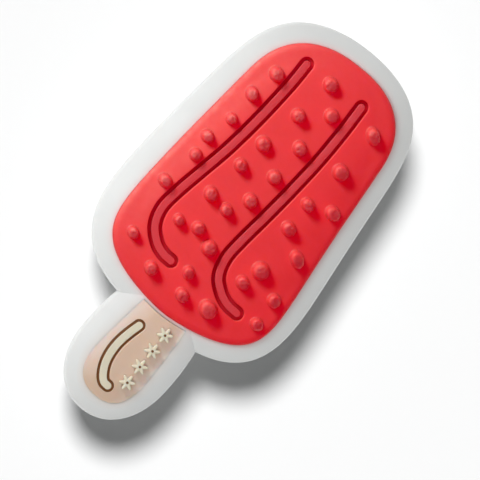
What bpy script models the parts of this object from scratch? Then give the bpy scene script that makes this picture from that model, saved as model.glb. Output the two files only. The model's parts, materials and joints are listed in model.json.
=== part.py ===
"""Ice pop shoe charm in soft moulded PVC.

A white puffy backing carries a red ice pop with small pegs all over its face, two curved strips
set in grooves, and a tan stick with one more strip and four small snow crystals.  A mushroom
plug behind it goes through a hole in a shoe, and the charm rests on that plug's flat head.
The origin is under the middle of the charm, +Y runs to the top of the pop and +Z is up.
"""
import math

import bmesh
import bpy
from mathutils import Matrix, Vector

MM = 0.001

# Rear plug: a flat round head, a neck for the wall of the shoe, and a flare under the backing
PLUG_PLACE = (0.0, 2.5 * MM)
PLUG_HEAD_RADIUS = 5.75 * MM
PLUG_HEAD_THICKNESS = 1.9 * MM
PLUG_NECK_RADIUS = 3.6 * MM
PLUG_FLARE = 0.6 * MM
PLUG_SIDES = 32

# Heights above the surface that the charm rests on
BACK_LOW = 6.5 * MM
BACK_HIGH = 9.4 * MM
POCKET_FLOOR = 9.0 * MM
POP_SHOULDER = 9.9 * MM
POP_CROWN = 0.55 * MM
STICK_DROP = 0.03 * MM
STICK_SHOULDER = 9.8 * MM
STICK_CROWN = 0.2 * MM

# Room left between pieces that lie in or on each other
GAP = 0.04 * MM

# Pop outlines: a half width that tapers towards the top, how square each end is, and how far
# both ends bow to the right of a middle line that is itself shifted a little to the left
POP_TOP = 22.95 * MM
POP_BOTTOM = -11.82 * MM
POP_WAIST = 5.35 * MM
POP_SIDE = 11.81 * MM
POP_TAPER = 0.102
POP_TOP_POWERS = (2.09, 6.05)
POP_BOTTOM_POWERS = (2.62, 4.05)
POP_BOW = 0.48 * MM
POP_SHIFT = -0.125 * MM
FACE_TOP = 21.06 * MM
FACE_BOTTOM = -10.33 * MM
FACE_WAIST = 13.6 * MM
FACE_SIDE = 9.63 * MM
FACE_TAPER = 0.094
FACE_TOP_POWERS = (2.36, 2.76)
FACE_BOTTOM_POWERS = (1.585, 11.2)
FACE_BOW = 0.42 * MM
FACE_SHIFT = -0.05 * MM
BOW_MIDDLE = 5.6 * MM
BOW_REACH = 17.0 * MM

# Stick outlines, on an axis that leans a little from the pop's own
STICK_PLACE = (0.33 * MM, -15.9 * MM)
STICK_LEAN = math.radians(-3.4)
STICK_SIDE = 5.33 * MM
STICK_TOP = 11.0 * MM
STICK_BOTTOM = -7.05 * MM
STICK_POWERS = (2.1, 2.2)
WOOD_SIDE = 3.13 * MM
WOOD_TAPER = 0.07
WOOD_TOP = 7.5 * MM
WOOD_BOTTOM = -5.05 * MM
WOOD_TOP_POWERS = (2.6, 8.0)
WOOD_BOTTOM_POWERS = (2.3, 2.6)

# White lip that stands between the red face and the tan stick, which is cut along it
LIP = 0.25 * MM

# Grooves and the strips in them, by points that their middle lines pass through
GROOVE_WIDTH = 1.52 * MM
GROOVE_FLOOR = 9.3 * MM
LINING_THICKNESS = 0.3 * MM
STRIP_WIDTH = 0.72 * MM
STRIP_SINK = 0.12 * MM
LEFT_PATH = ((-4.05, 17.9), (-4.1, 15.2), (-4.4, 11.0), (-4.95, 6.6), (-5.65, 3.0), (-6.2, 0.1),
             (-6.42, -2.2), (-5.85, -4.0), (-4.6, -5.2), (-3.4, -5.7), (-2.4, -5.78))
RIGHT_PATH = ((2.9, 17.95), (2.97, 14.5), (2.88, 10.8), (2.55, 6.6), (2.2, 3.2), (1.84, 0.2),
              (1.74, -2.2), (2.3, -4.0), (3.5, -5.1), (4.8, -5.68), (6.05, -5.78))
MARK_WIDTH = 1.34 * MM
MARK_STRIP_WIDTH = 0.74 * MM
MARK_FLOOR = 9.2 * MM
MARK_PATH = ((-0.78, -12.78), (-1.1, -14.0), (-1.33, -15.3), (-1.33, -16.6), (-1.08, -17.8),
             (-0.6, -18.75), (-0.05, -19.32), (0.52, -19.42))

# Snow crystals along the stick: rounded arms, given by the middle and the swing of the radius
CRYSTAL_ACROSS = 1.8
CRYSTAL_FIRST = -11.95
CRYSTAL_STEP = -2.0
CRYSTAL_COUNT = 4
CRYSTAL_ARMS = 6
CRYSTAL_RADIUS = 0.6 * MM
CRYSTAL_SWING = 0.22 * MM
CRYSTAL_LOW = 9.6 * MM
CRYSTAL_HIGH = 10.3 * MM

# Pegs on the face of the pop, by panel: across, along and width, with the long ones leaning
PEG_HEIGHT = 0.9 * MM
PEG_FOOT_SHARE = 1.1
PEG_SHOULDER_SHARE = 0.74
PEG_TOP_SHARE = 0.5
PEG_ROOT = 0.35 * MM
PEG_SIDES = 10
PEG_STRETCH = 1.25
PEG_TURN = math.radians(-45.0)
LEFT_PEGS = ((-5.95, 15.35, 1.6), (-6.55, 12.3, 1.45), (-6.7, 9.0, 1.25), (-7.6, 6.2, 1.35),
             (-7.3, 4.0, 1.35), (-3.55, -7.65, 1.5))
MIDDLE_PEGS = ((-1.3, 17.9, 1.6), (0.9, 15.45, 1.6), (-1.7, 13.4, 1.5), (0.65, 11.0, 1.6),
               (-2.65, 9.0, 1.7), (0.3, 7.15, 1.5), (-3.1, 5.95, 1.45), (-0.15, 3.8, 1.55),
               (-3.7, 1.85, 1.55), (-1.45, 1.6, 1.4), (-2.55, -1.6, 1.45), (-4.4, -2.25, 1.25),
               (-0.4, -2.4, 1.65), (-0.4, -5.7, 1.35), (0.5, -7.85, 1.45))
RIGHT_PEGS = ((5.1, 11.7, 1.7), (7.25, 8.15, 1.6), (4.6, 4.0, 1.55), (5.1, -0.85, 1.9),
              (8.2, -2.4, 1.5), (4.45, -3.15, 1.45), (8.4, -5.35, 1.35), (3.5, -7.3, 1.95))
LONG_PEGS = ((5.6, 16.6, 1.7), (4.7, 7.05, 1.4), (7.5, 1.95, 1.65), (-8.2, 0.05, 1.4),
             (-7.0, -6.05, 1.25))

# How finely the outlines are drawn
TRACE_POINTS = 1440
POP_POINTS = 72
STICK_POINTS = 44
SPAN_POINTS = 3
END_POINTS = 5
CRYSTAL_POINTS = 24

for leftover in list(bpy.data.objects):
    bpy.data.objects.remove(leftover)
parts = bpy.data.collections.new("ice_pop_charm")
cutters = bpy.data.collections.new("cutters")
bpy.context.scene.collection.children.link(parts)
bpy.context.scene.collection.children.link(cutters)


def plastic(name, colour, roughness):
    """Plain moulded PVC of one colour"""
    material = bpy.data.materials.new(name)
    material.use_nodes = True
    shader = material.node_tree.nodes["Principled BSDF"]
    shader.inputs["Base Color"].default_value = (*colour, 1.0)
    shader.inputs["Roughness"].default_value = roughness
    shader.inputs["Metallic"].default_value = 0.0
    return material


def add_part(name, mesh, material):
    """Piece of the charm, in its own colour"""
    part = bpy.data.objects.new(name, mesh)
    mesh.materials.clear()
    mesh.materials.append(material)
    parts.objects.link(part)
    return part


def add_cutter(name, mesh):
    """Shape that only cuts, joins or trims a piece"""
    cutter = bpy.data.objects.new(name, mesh)
    cutter.hide_render = True
    cutter.display_type = "WIRE"
    cutters.objects.link(cutter)
    return cutter


def combine(part, operation, other, solver="EXACT"):
    """Boolean of a piece with one cutter"""
    step = part.modifiers.new(other.name, "BOOLEAN")
    step.operation = operation
    step.solver = solver
    step.object = other


def even_points(trace, count):
    """Points spread evenly round a closed line"""
    corners = trace + trace[:1]
    reached = [0.0]
    for start, end in zip(corners, corners[1:]):
        reached.append(reached[-1] + (end - start).length)
    spread = []
    span = 0
    for number in range(count):
        target = reached[-1] * number / count
        while reached[span + 1] < target:
            span += 1
        share = (target - reached[span]) / (reached[span + 1] - reached[span])
        spread.append(corners[span].lerp(corners[span + 1], share))
    return spread


def soft_outline(waist, top, bottom, side, taper, top_powers, bottom_powers, count, bow=0.0, shift=0.0):
    """Tapered superellipse round +Z, each end as square as its powers say, and bowed sideways"""
    trace = []
    for number in range(TRACE_POINTS):
        angle = math.tau * (number + 0.5) / TRACE_POINTS
        above = math.sin(angle) > 0
        across_power, along_power = top_powers if above else bottom_powers
        end = top if above else bottom
        along = waist + (end - waist) * abs(math.sin(angle)) ** (2 / along_power)
        across = (side - taper * along) * abs(math.cos(angle)) ** (2 / across_power)
        sideways = shift + bow * ((along - BOW_MIDDLE) / BOW_REACH) ** 2
        trace.append(Vector((math.copysign(across, math.cos(angle)) + sideways, along)))
    return even_points(trace, count)


def inset(outline, distance):
    """Outline moved inwards, or outwards where the distance is negative"""
    befores = outline[-1:] + outline[:-1]
    afters = outline[1:] + outline[:1]
    moved = []
    for before, point, after in zip(befores, outline, afters):
        run = (after - before).normalized()
        moved.append(point + Vector((-run.y, run.x)) * distance)
    return moved


def loft(name, rings):
    """Closed skin through level rings, from the lowest one up; each is an outline and a height"""
    skin = bmesh.new()
    rows = []
    for outline, height in rings:
        rows.append([skin.verts.new((point.x, point.y, height)) for point in outline])
    for lower, upper in zip(rows, rows[1:]):
        for number in range(len(lower)):
            skin.faces.new((lower[number - 1], lower[number], upper[number], upper[number - 1]))
    skin.faces.new(reversed(rows[0]))
    skin.faces.new(rows[-1])
    mesh = bpy.data.meshes.new(name)
    skin.to_mesh(mesh)
    skin.free()
    return mesh


def puffy_backing(name, outline, high):
    """Slab with a drafted wall and a round shoulder, up to a flat top"""
    low = BACK_LOW
    wall = high - low
    edge = ((0.45, 0.0), (0.1, 0.1), (0.0, 0.28), (0.12, 0.7), (0.36, 0.88), (0.8, 0.98), (1.2, 1.0))
    rings = [(inset(outline, step * MM), low + share * wall) for step, share in edge]
    return loft(name, rings)


def domed_face(name, outline, shoulder, crown, middle):
    """Pillow with an upright edge, a round shoulder and a low dome over a middle point"""
    low = POCKET_FLOOR + GAP
    rise = shoulder - low
    edge = ((0.0, 0.0), (0.0, 0.45), (0.1, 0.75), (0.4, 1.0))
    rings = [(inset(outline, step * MM), low + share * rise) for step, share in edge]
    rim = rings[-1][0]
    centre = Vector(middle)
    for share in (0.86, 0.62, 0.3):
        rings.append(([centre.lerp(point, share) for point in rim], shoulder + crown * (1 - share ** 2)))
    return loft(name, rings)


def plate(name, outline, low, high):
    """Flat plate between two heights"""
    curve = bpy.data.curves.new(name, "CURVE")
    curve.dimensions = "2D"
    curve.fill_mode = "BOTH"
    curve.extrude = (high - low) / 2
    spline = curve.splines.new("POLY")
    spline.points.add(len(outline) - 1)
    for place, point in zip(spline.points, outline):
        place.co = (point.x, point.y, 0.0, 1.0)
    spline.use_cyclic_u = True
    drawn = bpy.data.objects.new(name, curve)
    bpy.context.scene.collection.objects.link(drawn)
    graph = bpy.context.evaluated_depsgraph_get()
    mesh = bpy.data.meshes.new_from_object(drawn.evaluated_get(graph))
    bpy.data.objects.remove(drawn)
    mesh.transform(Matrix.Translation((0.0, 0.0, (low + high) / 2)))
    skin = bmesh.new()
    skin.from_mesh(mesh)
    bmesh.ops.remove_doubles(skin, verts=skin.verts, dist=0.001 * MM)
    bmesh.ops.recalc_face_normals(skin, faces=skin.faces)
    skin.to_mesh(mesh)
    skin.free()
    return mesh


def smooth_path(places):
    """Line through the given places, rounded as a Catmull-Rom curve, in metres"""
    knots = [Vector(place) * MM for place in places]
    knots = [2 * knots[0] - knots[1]] + knots + [2 * knots[-1] - knots[-2]]
    line = []
    for before, start, end, after in zip(knots, knots[1:], knots[2:], knots[3:]):
        for number in range(SPAN_POINTS):
            t = number / SPAN_POINTS
            line.append(0.5 * (2 * start + (end - before) * t
                               + (2 * before - 5 * start + 4 * end - after) * t ** 2
                               + (3 * start - before - 3 * end + after) * t ** 3))
    line.append(knots[-2])
    return line


def band_outline(line, width):
    """Outline of a band of even width with round ends, drawn along a line"""
    radius = width / 2
    left = []
    right = []
    for number, point in enumerate(line):
        run = (line[min(number + 1, len(line) - 1)] - line[max(number - 1, 0)]).normalized()
        side = Vector((-run.y, run.x)) * radius
        left.append(point + side)
        right.append(point - side)
    ends = []
    for point, edge in ((line[0], left[0]), (line[-1], right[-1])):
        turns = [math.pi * number / END_POINTS for number in range(1, END_POINTS)]
        ends.append([point + Matrix.Rotation(turn, 2) @ (edge - point) for turn in turns])
    return right + ends[1] + left[::-1] + ends[0]


def crystal_outline(place, growth):
    """Snow crystal with round arms, grown on all sides by the given amount"""
    outline = []
    for number in range(CRYSTAL_POINTS):
        angle = math.tau * number / CRYSTAL_POINTS
        radius = CRYSTAL_RADIUS + CRYSTAL_SWING * math.cos(CRYSTAL_ARMS * angle) + growth
        outline.append(place + radius * Vector((math.sin(angle), math.cos(angle))))
    return outline[::-1]


def put_on_stick(piece):
    """Place a piece that is drawn on the stick's own axis"""
    piece.location = (*STICK_PLACE, 0.0)
    piece.rotation_euler.z = STICK_LEAN


WHITE = plastic("white_pvc", (0.83, 0.84, 0.82), 0.5)
RED = plastic("red_pvc", (0.78, 0.055, 0.055), 0.45)
DARK_RED = plastic("dark_red_pvc", (0.36, 0.004, 0.012), 0.5)
DUSTY_RED = plastic("dusty_red_pvc", (0.6, 0.07, 0.09), 0.6)
TAN = plastic("tan_pvc", (0.62, 0.42, 0.3), 0.5)
BROWN = plastic("brown_pvc", (0.13, 0.05, 0.02), 0.5)
CREAM = plastic("cream_pvc", (0.73, 0.69, 0.52), 0.5)

pop_outline = soft_outline(POP_WAIST, POP_TOP, POP_BOTTOM, POP_SIDE, POP_TAPER,
                           POP_TOP_POWERS, POP_BOTTOM_POWERS, POP_POINTS, POP_BOW, POP_SHIFT)
face_outline = soft_outline(FACE_WAIST, FACE_TOP, FACE_BOTTOM, FACE_SIDE, FACE_TAPER,
                            FACE_TOP_POWERS, FACE_BOTTOM_POWERS, POP_POINTS, FACE_BOW, FACE_SHIFT)
stick_outline = soft_outline(0.0, STICK_TOP, STICK_BOTTOM, STICK_SIDE, 0.0,
                             STICK_POWERS, STICK_POWERS, STICK_POINTS)
wood_outline = soft_outline(0.0, WOOD_TOP, WOOD_BOTTOM, WOOD_SIDE, WOOD_TAPER,
                            WOOD_TOP_POWERS, WOOD_BOTTOM_POWERS, STICK_POINTS)


def build_backing():
    """White slab of pop and stick in one, with a shallow pocket for the face and for the stick"""
    backing = add_part("backing", puffy_backing("backing", pop_outline, BACK_HIGH), WHITE)
    stick_slab = add_cutter("stick_slab", puffy_backing("stick_slab", stick_outline, BACK_HIGH - STICK_DROP))
    put_on_stick(stick_slab)
    combine(backing, "UNION", stick_slab)
    above = CRYSTAL_HIGH
    face_pocket = add_cutter("face_pocket", plate("face_pocket", inset(face_outline, -GAP),
                                                  POCKET_FLOOR, above))
    combine(backing, "DIFFERENCE", face_pocket)
    wood_pocket = add_cutter("wood_pocket", plate("wood_pocket", inset(wood_outline, -GAP),
                                                  POCKET_FLOOR, above))
    put_on_stick(wood_pocket)
    lip_guard = add_cutter("lip_guard", plate("lip_guard", inset(face_outline, GAP - LIP),
                                              BACK_LOW, above + PEG_HEIGHT))
    combine(wood_pocket, "DIFFERENCE", lip_guard)
    combine(backing, "DIFFERENCE", wood_pocket)


def build_plug():
    """Mushroom plug, turned from a profile that runs from the flare down to the flat head"""
    top = BACK_LOW - GAP
    head = PLUG_HEAD_THICKNESS
    rim = PLUG_HEAD_RADIUS
    profile = ((0.0, top), (PLUG_NECK_RADIUS + PLUG_FLARE, top), (PLUG_NECK_RADIUS, top - PLUG_FLARE),
               (PLUG_NECK_RADIUS, head + 0.4 * MM), (PLUG_NECK_RADIUS + 0.4 * MM, head),
               (rim - 0.6 * MM, head - 0.15 * MM), (rim, head - 0.75 * MM), (rim, 0.45 * MM),
               (rim - 0.45 * MM, 0.0), (0.0, 0.0))
    mesh = bpy.data.meshes.new("rear_plug")
    edges = [(number, number + 1) for number in range(len(profile) - 1)]
    mesh.from_pydata([(across, 0.0, height) for across, height in profile], edges, [])
    plug = add_part("rear_plug", mesh, WHITE)
    turn = plug.modifiers.new("turn", "SCREW")
    turn.axis = "Z"
    turn.steps = PLUG_SIDES
    turn.render_steps = PLUG_SIDES
    turn.use_merge_vertices = True
    turn.merge_threshold = 0.00001
    turn.use_smooth_shade = True
    plug.location = (*PLUG_PLACE, 0.0)


def peg_mesh():
    """Blunt peg of unit width and height, with its root below the surface"""
    skin = bmesh.new()
    root = PEG_ROOT / PEG_HEIGHT
    levels = ((PEG_FOOT_SHARE, -root), (PEG_SHOULDER_SHARE, 0.72), (PEG_TOP_SHARE, 1.0))
    for width, height in levels:
        bmesh.ops.create_circle(skin, segments=PEG_SIDES, radius=width / 2,
                                matrix=Matrix.Translation((0.0, 0.0, height)))
    bmesh.ops.bridge_loops(skin, edges=list(skin.edges))
    bmesh.ops.holes_fill(skin, edges=skin.edges, sides=PEG_SIDES)
    bmesh.ops.recalc_face_normals(skin, faces=skin.faces)
    mesh = bpy.data.meshes.new("peg")
    skin.to_mesh(mesh)
    skin.free()
    return mesh


def face_height(across, along):
    """Height of the dome at a place on the face, from the rings that it is lofted through"""
    waist = 0.5 * (FACE_TOP + FACE_BOTTOM)
    reach = Vector((across / (FACE_SIDE - FACE_TAPER * along), (along - waist) / (FACE_TOP - waist))).length
    return POP_SHOULDER + POP_CROWN * max(0.0, 1 - reach ** 2)


def build_face():
    """Red face of the pop: a low dome with its pegs fused on and two grooves sunk into it"""
    middle = (0.0, 0.5 * (FACE_TOP + FACE_BOTTOM))
    dome = domed_face("pop_face", face_outline, POP_SHOULDER, POP_CROWN, middle)
    face = add_part("pop_face", dome, RED)
    trimmer = add_cutter("strip_trimmer", dome.copy())
    trimmer.location.z = -STRIP_SINK

    pegs = bpy.data.collections.new("pegs")
    bpy.context.scene.collection.children.link(pegs)
    peg = peg_mesh()
    for group, stretch in ((LEFT_PEGS, 1.0), (MIDDLE_PEGS, 1.0), (RIGHT_PEGS, 1.0), (LONG_PEGS, PEG_STRETCH)):
        for across, along, width in group:
            piece = bpy.data.objects.new("peg", peg)
            piece.location = (across * MM, along * MM, face_height(across * MM, along * MM))
            piece.rotation_euler.z = PEG_TURN
            piece.scale = (width * MM * stretch, width * MM / stretch ** 0.5, PEG_HEIGHT)
            pegs.objects.link(piece)
    join = face.modifiers.new("pegs", "BOOLEAN")
    join.operation = "UNION"
    join.operand_type = "COLLECTION"
    join.collection = pegs
    graph = bpy.context.evaluated_depsgraph_get()
    joined = bpy.data.meshes.new_from_object(face.evaluated_get(graph))
    face.modifiers.clear()
    face.data = joined
    for piece in list(pegs.objects):
        bpy.data.objects.remove(piece)
    bpy.data.collections.remove(pegs)

    for side, places in (("left", LEFT_PATH), ("right", RIGHT_PATH)):
        line = smooth_path(places)
        groove = add_cutter(side + "_groove", plate(side + "_groove", band_outline(line, GROOVE_WIDTH),
                                                    GROOVE_FLOOR, CRYSTAL_HIGH + PEG_HEIGHT))
        combine(face, "DIFFERENCE", groove, "MANIFOLD")
        build_strip(side, line, GROOVE_WIDTH, STRIP_WIDTH, GROOVE_FLOOR, trimmer, DARK_RED, DUSTY_RED)


def build_strip(side, line, groove_width, strip_width, floor, trimmer, lining_colour, strip_colour):
    """Dark lining on the floor of a groove, and the strip that stands on it up to the dome"""
    lining_low = floor + GAP
    lining_high = lining_low + LINING_THICKNESS
    lining = band_outline(line, groove_width - 2 * GAP)
    lining_name = side + "_groove_lining"
    add_part(lining_name, plate(lining_name, lining, lining_low, lining_high), lining_colour)
    strip_name = side + "_strip"
    band = plate(strip_name, band_outline(line, strip_width), lining_high + GAP, CRYSTAL_HIGH + PEG_HEIGHT)
    strip = add_part(strip_name, band, strip_colour)
    combine(strip, "INTERSECT", trimmer, "MANIFOLD")


def build_stick():
    """Tan pillow of the stick, with its groove, strip and snow crystals"""
    pillow = domed_face("stick", wood_outline, STICK_SHOULDER, STICK_CROWN, (0.0, 0.0))
    stick = add_part("stick", pillow, TAN)
    put_on_stick(stick)
    trimmer = add_cutter("mark_trimmer", pillow.copy())
    put_on_stick(trimmer)
    trimmer.location.z = -STRIP_SINK / 2
    lip_cutter = add_cutter("lip_cutter", plate("lip_cutter", inset(face_outline, -LIP),
                                                BACK_LOW, CRYSTAL_HIGH))
    combine(stick, "DIFFERENCE", lip_cutter)
    line = smooth_path(MARK_PATH)
    groove = add_cutter("stick_groove", plate("stick_groove", band_outline(line, MARK_WIDTH),
                                              MARK_FLOOR, CRYSTAL_HIGH))
    combine(stick, "DIFFERENCE", groove, "MANIFOLD")
    build_strip("stick", line, MARK_WIDTH, MARK_STRIP_WIDTH, MARK_FLOOR, trimmer, BROWN, CREAM)
    for number in range(CRYSTAL_COUNT):
        place = Vector((CRYSTAL_ACROSS, CRYSTAL_FIRST + number * CRYSTAL_STEP)) * MM
        name = "snow_crystal_" + str(number + 1)
        pocket = add_cutter(name + "_pocket", plate(name + "_pocket", crystal_outline(place, GAP),
                                                    CRYSTAL_LOW, CRYSTAL_HIGH + PEG_HEIGHT))
        combine(stick, "DIFFERENCE", pocket)
        add_part(name, plate(name, crystal_outline(place, 0.0), CRYSTAL_LOW + GAP, CRYSTAL_HIGH), CREAM)


build_backing()
build_plug()
build_face()
build_stick()
for part in parts.objects:
    part.data.shade_smooth()
    part.data.set_sharp_from_angle(angle=math.radians(40.0))
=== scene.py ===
"""Looks of a soft PVC shoe charm shaped as an ice pop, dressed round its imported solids.

The charm is moulded in layers: a white backing, a red pegged face and a tan stick sunk into it,
and thin coloured strips in grooves.  Lengths are in millimetres until a mesh is written.
"""
import json
import math

import bmesh
import bpy
import numpy as np
from mathutils import Matrix, Vector
from mathutils.geometry import delaunay_2d_cdt

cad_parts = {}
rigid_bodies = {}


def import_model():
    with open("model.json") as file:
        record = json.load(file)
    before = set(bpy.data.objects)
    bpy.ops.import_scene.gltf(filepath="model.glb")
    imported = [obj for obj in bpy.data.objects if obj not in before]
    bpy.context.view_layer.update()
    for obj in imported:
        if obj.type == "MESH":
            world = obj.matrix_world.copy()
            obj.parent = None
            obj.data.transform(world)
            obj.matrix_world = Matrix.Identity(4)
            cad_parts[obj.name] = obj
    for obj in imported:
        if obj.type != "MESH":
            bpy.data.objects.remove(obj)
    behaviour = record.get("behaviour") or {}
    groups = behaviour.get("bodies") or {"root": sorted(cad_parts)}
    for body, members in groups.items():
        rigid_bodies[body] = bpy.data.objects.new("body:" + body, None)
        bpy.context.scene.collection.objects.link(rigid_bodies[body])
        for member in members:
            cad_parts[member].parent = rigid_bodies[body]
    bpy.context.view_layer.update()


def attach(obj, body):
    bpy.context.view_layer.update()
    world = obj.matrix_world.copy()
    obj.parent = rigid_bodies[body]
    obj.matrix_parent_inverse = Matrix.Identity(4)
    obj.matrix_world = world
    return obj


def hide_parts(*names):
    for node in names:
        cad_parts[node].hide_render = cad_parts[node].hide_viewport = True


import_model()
MM = 0.001

# White backing
# One puffy slab of white PVC behind pop and stick, moulded with a drafted wall and a soft
# shoulder.  The face and the stick lie in shallow pockets that are cut into its front.
BACK_LOW = 6.5
BACK_HIGH = 9.4
STICK_DROP = 0.03
POCKET_FLOOR = 9.0
GAP = 0.04
LAP = 0.01
LIP = 0.25
CUT_TOP = 11.5
FOOT_ROUND = 0.45
FOOT_RISE = 0.5
WALL_DRAFT = 0.06
CORNER_ROUND = 0.4
CORNER_TURN = math.radians(60)
FRONT_REACH = 2.3
FRONT_BULGE = 1.6
POP_SHAPE = dict(waist=5.35, top=22.95, bottom=-11.82, side=11.81, taper=0.102, bow=0.48, shift=-0.125,
                 top_powers=(2.09, 6.05), bottom_powers=(2.62, 4.05))
FACE_SHAPE = dict(waist=13.6, top=21.02, bottom=-10.33, side=9.63, taper=0.094, bow=0.42, shift=0.0,
                  top_powers=(2.36, 2.76), bottom_powers=(1.585, 11.2))
STICK_SHAPE = dict(waist=0.0, top=11.0, bottom=-7.05, side=5.33, taper=0.0, bow=0.0, shift=0.0,
                   top_powers=(2.1, 2.2), bottom_powers=(2.1, 2.2))
WOOD_SHAPE = dict(waist=0.0, top=7.5, bottom=-5.05, side=3.13, taper=0.07, bow=0.0, shift=0.0,
                  top_powers=(2.6, 8.0), bottom_powers=(2.3, 2.6))
BOW_MIDDLE = 5.6
BOW_REACH = 17.0
STICK_PLACE = (0.33, -15.9)
STICK_LEAN = math.radians(-3.4)
WHITE = (0.75, 0.755, 0.745)
# Painted light: a pinkish glow on the white, standing in for red light bounced and scattered out of the red
# face.
RED_BOUNCE_PAINT = (0.95, 0.52, 0.52)
# Painted shade on the white beside the stick, browned as if tinted by light from the tan.
TAN_SHADE_PAINT = (0.74, 0.63, 0.56)


def soft_outline(shape, count, grow=0.0):
    """Tapered superellipse round +Z, each end as square as its powers say, and bowed sideways"""
    angles = (np.arange(4000) + 0.5) * math.tau / 4000
    rise = np.sin(angles)
    across_power = np.where(rise > 0, shape["top_powers"][0], shape["bottom_powers"][0])
    along_power = np.where(rise > 0, shape["top_powers"][1], shape["bottom_powers"][1])
    end = np.where(rise > 0, shape["top"], shape["bottom"])
    along = shape["waist"] + (end - shape["waist"]) * np.abs(rise) ** (2 / along_power)
    across = (shape["side"] - shape["taper"] * along) * np.abs(np.cos(angles)) ** (2 / across_power)
    sideways = shape["shift"] + shape["bow"] * ((along - BOW_MIDDLE) / BOW_REACH) ** 2
    trace = np.stack((across * np.sign(np.cos(angles)) + sideways, along), axis=1)
    return inset(even_points(trace, count), -grow)


def even_points(trace, count):
    """Points spread evenly round a closed line"""
    closed = np.vstack((trace, trace[:1]))
    reached = np.concatenate(([0.0], np.cumsum(np.linalg.norm(np.diff(closed, axis=0), axis=1))))
    targets = np.arange(count) * reached[-1] / count
    return np.stack([np.interp(targets, reached, closed[:, axis]) for axis in (0, 1)], axis=1)


def inset(outline, distance):
    """Closed outline moved inwards, or outwards where the distance is negative"""
    run = np.roll(outline, -1, axis=0) - np.roll(outline, 1, axis=0)
    run /= np.linalg.norm(run, axis=1)[:, None]
    return outline + np.stack((-run[:, 1], run[:, 0]), axis=1) * distance


def on_stick(points):
    """Points drawn on the stick's own axis, placed and leaned like the stick"""
    lean = np.array(Matrix.Rotation(STICK_LEAN, 2))
    return points @ lean.T + np.array(STICK_PLACE)


def new_tree(name, inputs):
    """Geometry node tree with named inputs, and the node that holds them"""
    tree = bpy.data.node_groups.new(name, "GeometryNodeTree")
    tree.is_modifier = True
    tree.interface.new_socket("Geometry", in_out="INPUT", socket_type="NodeSocketGeometry")
    for label, kind in inputs:
        tree.interface.new_socket(label, in_out="INPUT", socket_type=kind)
    tree.interface.new_socket("Geometry", in_out="OUTPUT", socket_type="NodeSocketGeometry")
    return tree, tree.nodes.new("NodeGroupInput")


def add_node(tree, kind, inputs=None, **settings):
    """Node with its settings, its inputs linked to sockets or set to plain values"""
    node = tree.nodes.new(kind)
    for label, value in settings.items():
        setattr(node, label, value)
    for label, value in (inputs or {}).items():
        socket = node.inputs[label]
        if isinstance(value, bpy.types.NodeSocket):
            tree.links.new(value, socket)
        else:
            socket.default_value = value
    return node


def maths(tree, operation, *values, clamp=False):
    """Outcome of one sum on numbers"""
    return add_node(tree, "ShaderNodeMath", dict(enumerate(values)), operation=operation,
                    use_clamp=clamp).outputs[0]


def vector_maths(tree, operation, *vectors, scale=None):
    """Outcome of one sum on vectors: a number for a length or a dot product, or else a vector"""
    inputs = dict(enumerate(vectors))
    if scale is not None:
        inputs["Scale"] = scale
    node = add_node(tree, "ShaderNodeVectorMath", inputs, operation=operation)
    return node.outputs["Value" if operation in ("LENGTH", "DOT_PRODUCT") else "Vector"]


def held(tree, label, kind="FLOAT"):
    """Value that the geometry holds under a name"""
    return add_node(tree, "GeometryNodeInputNamedAttribute", {"Name": label}, data_type=kind).outputs[0]


def keep(tree, geometry, label, value):
    """Geometry that holds a value of each point under a name"""
    return add_node(tree, "GeometryNodeStoreNamedAttribute",
                    {"Geometry": geometry, "Name": label, "Value": value},
                    data_type="FLOAT", domain="POINT").outputs[0]


def end_tree(tree, geometry, start):
    """Realize Instances, shade smooth, and put the material on what the tree has made"""
    real = add_node(tree, "GeometryNodeRealizeInstances", {"Geometry": geometry})
    smooth = add_node(tree, "GeometryNodeSetShadeSmooth", {"Geometry": real.outputs[0]})
    painted = add_node(tree, "GeometryNodeSetMaterial",
                       {"Geometry": smooth.outputs[0], "Material": start.outputs["Material"]})
    add_node(tree, "NodeGroupOutput", {"Geometry": painted.outputs[0]})


def put_in_scene(name, data):
    """Object for a mesh or a curve, standing at the origin"""
    piece = bpy.data.objects.new(name, data)
    bpy.context.scene.collection.objects.link(piece)
    return piece


def settle(piece):
    """Plain mesh of a piece, as its modifiers leave it, on an object with no modifiers"""
    graph = bpy.context.evaluated_depsgraph_get()
    mesh = bpy.data.meshes.new_from_object(piece.evaluated_get(graph), depsgraph=graph)
    name = piece.name
    bpy.data.objects.remove(piece)
    return put_in_scene(name, mesh)


def run_tree(name, data, tree, inputs):
    """Piece that a node tree grows from a mesh or a curve"""
    host = put_in_scene(name, data)
    modifier = host.modifiers.new(tree.name, "NODES")
    modifier.node_group = tree
    for item in tree.interface.items_tree:
        if item.item_type == "SOCKET" and item.name in inputs:
            modifier[item.identifier] = inputs[item.name]
    return settle(host)


def poly_curve(name, points, heights, cyclic):
    """Straight-segment curve through points, in metres"""
    curve = bpy.data.curves.new(name, "CURVE")
    curve.dimensions = "3D"
    spline = curve.splines.new("POLY")
    spline.points.add(len(points) - 1)
    for place, point, height in zip(spline.points, points, heights):
        place.co = (point[0] * MM, point[1] * MM, height * MM, 1.0)
    spline.use_cyclic_u = cyclic
    return curve


def plate(name, outline, low, high):
    """Flat closed plate between two heights"""
    skin = bmesh.new()
    floor = [skin.verts.new((x * MM, y * MM, low * MM)) for x, y in outline]
    base = skin.faces.new(floor)
    raised = bmesh.ops.extrude_face_region(skin, geom=[base])
    lifted = [item for item in raised["geom"] if isinstance(item, bmesh.types.BMVert)]
    bmesh.ops.translate(skin, verts=lifted, vec=(0.0, 0.0, (high - low) * MM))
    bmesh.ops.recalc_face_normals(skin, faces=skin.faces)
    mesh = bpy.data.meshes.new(name)
    skin.to_mesh(mesh)
    skin.free()
    return mesh


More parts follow.
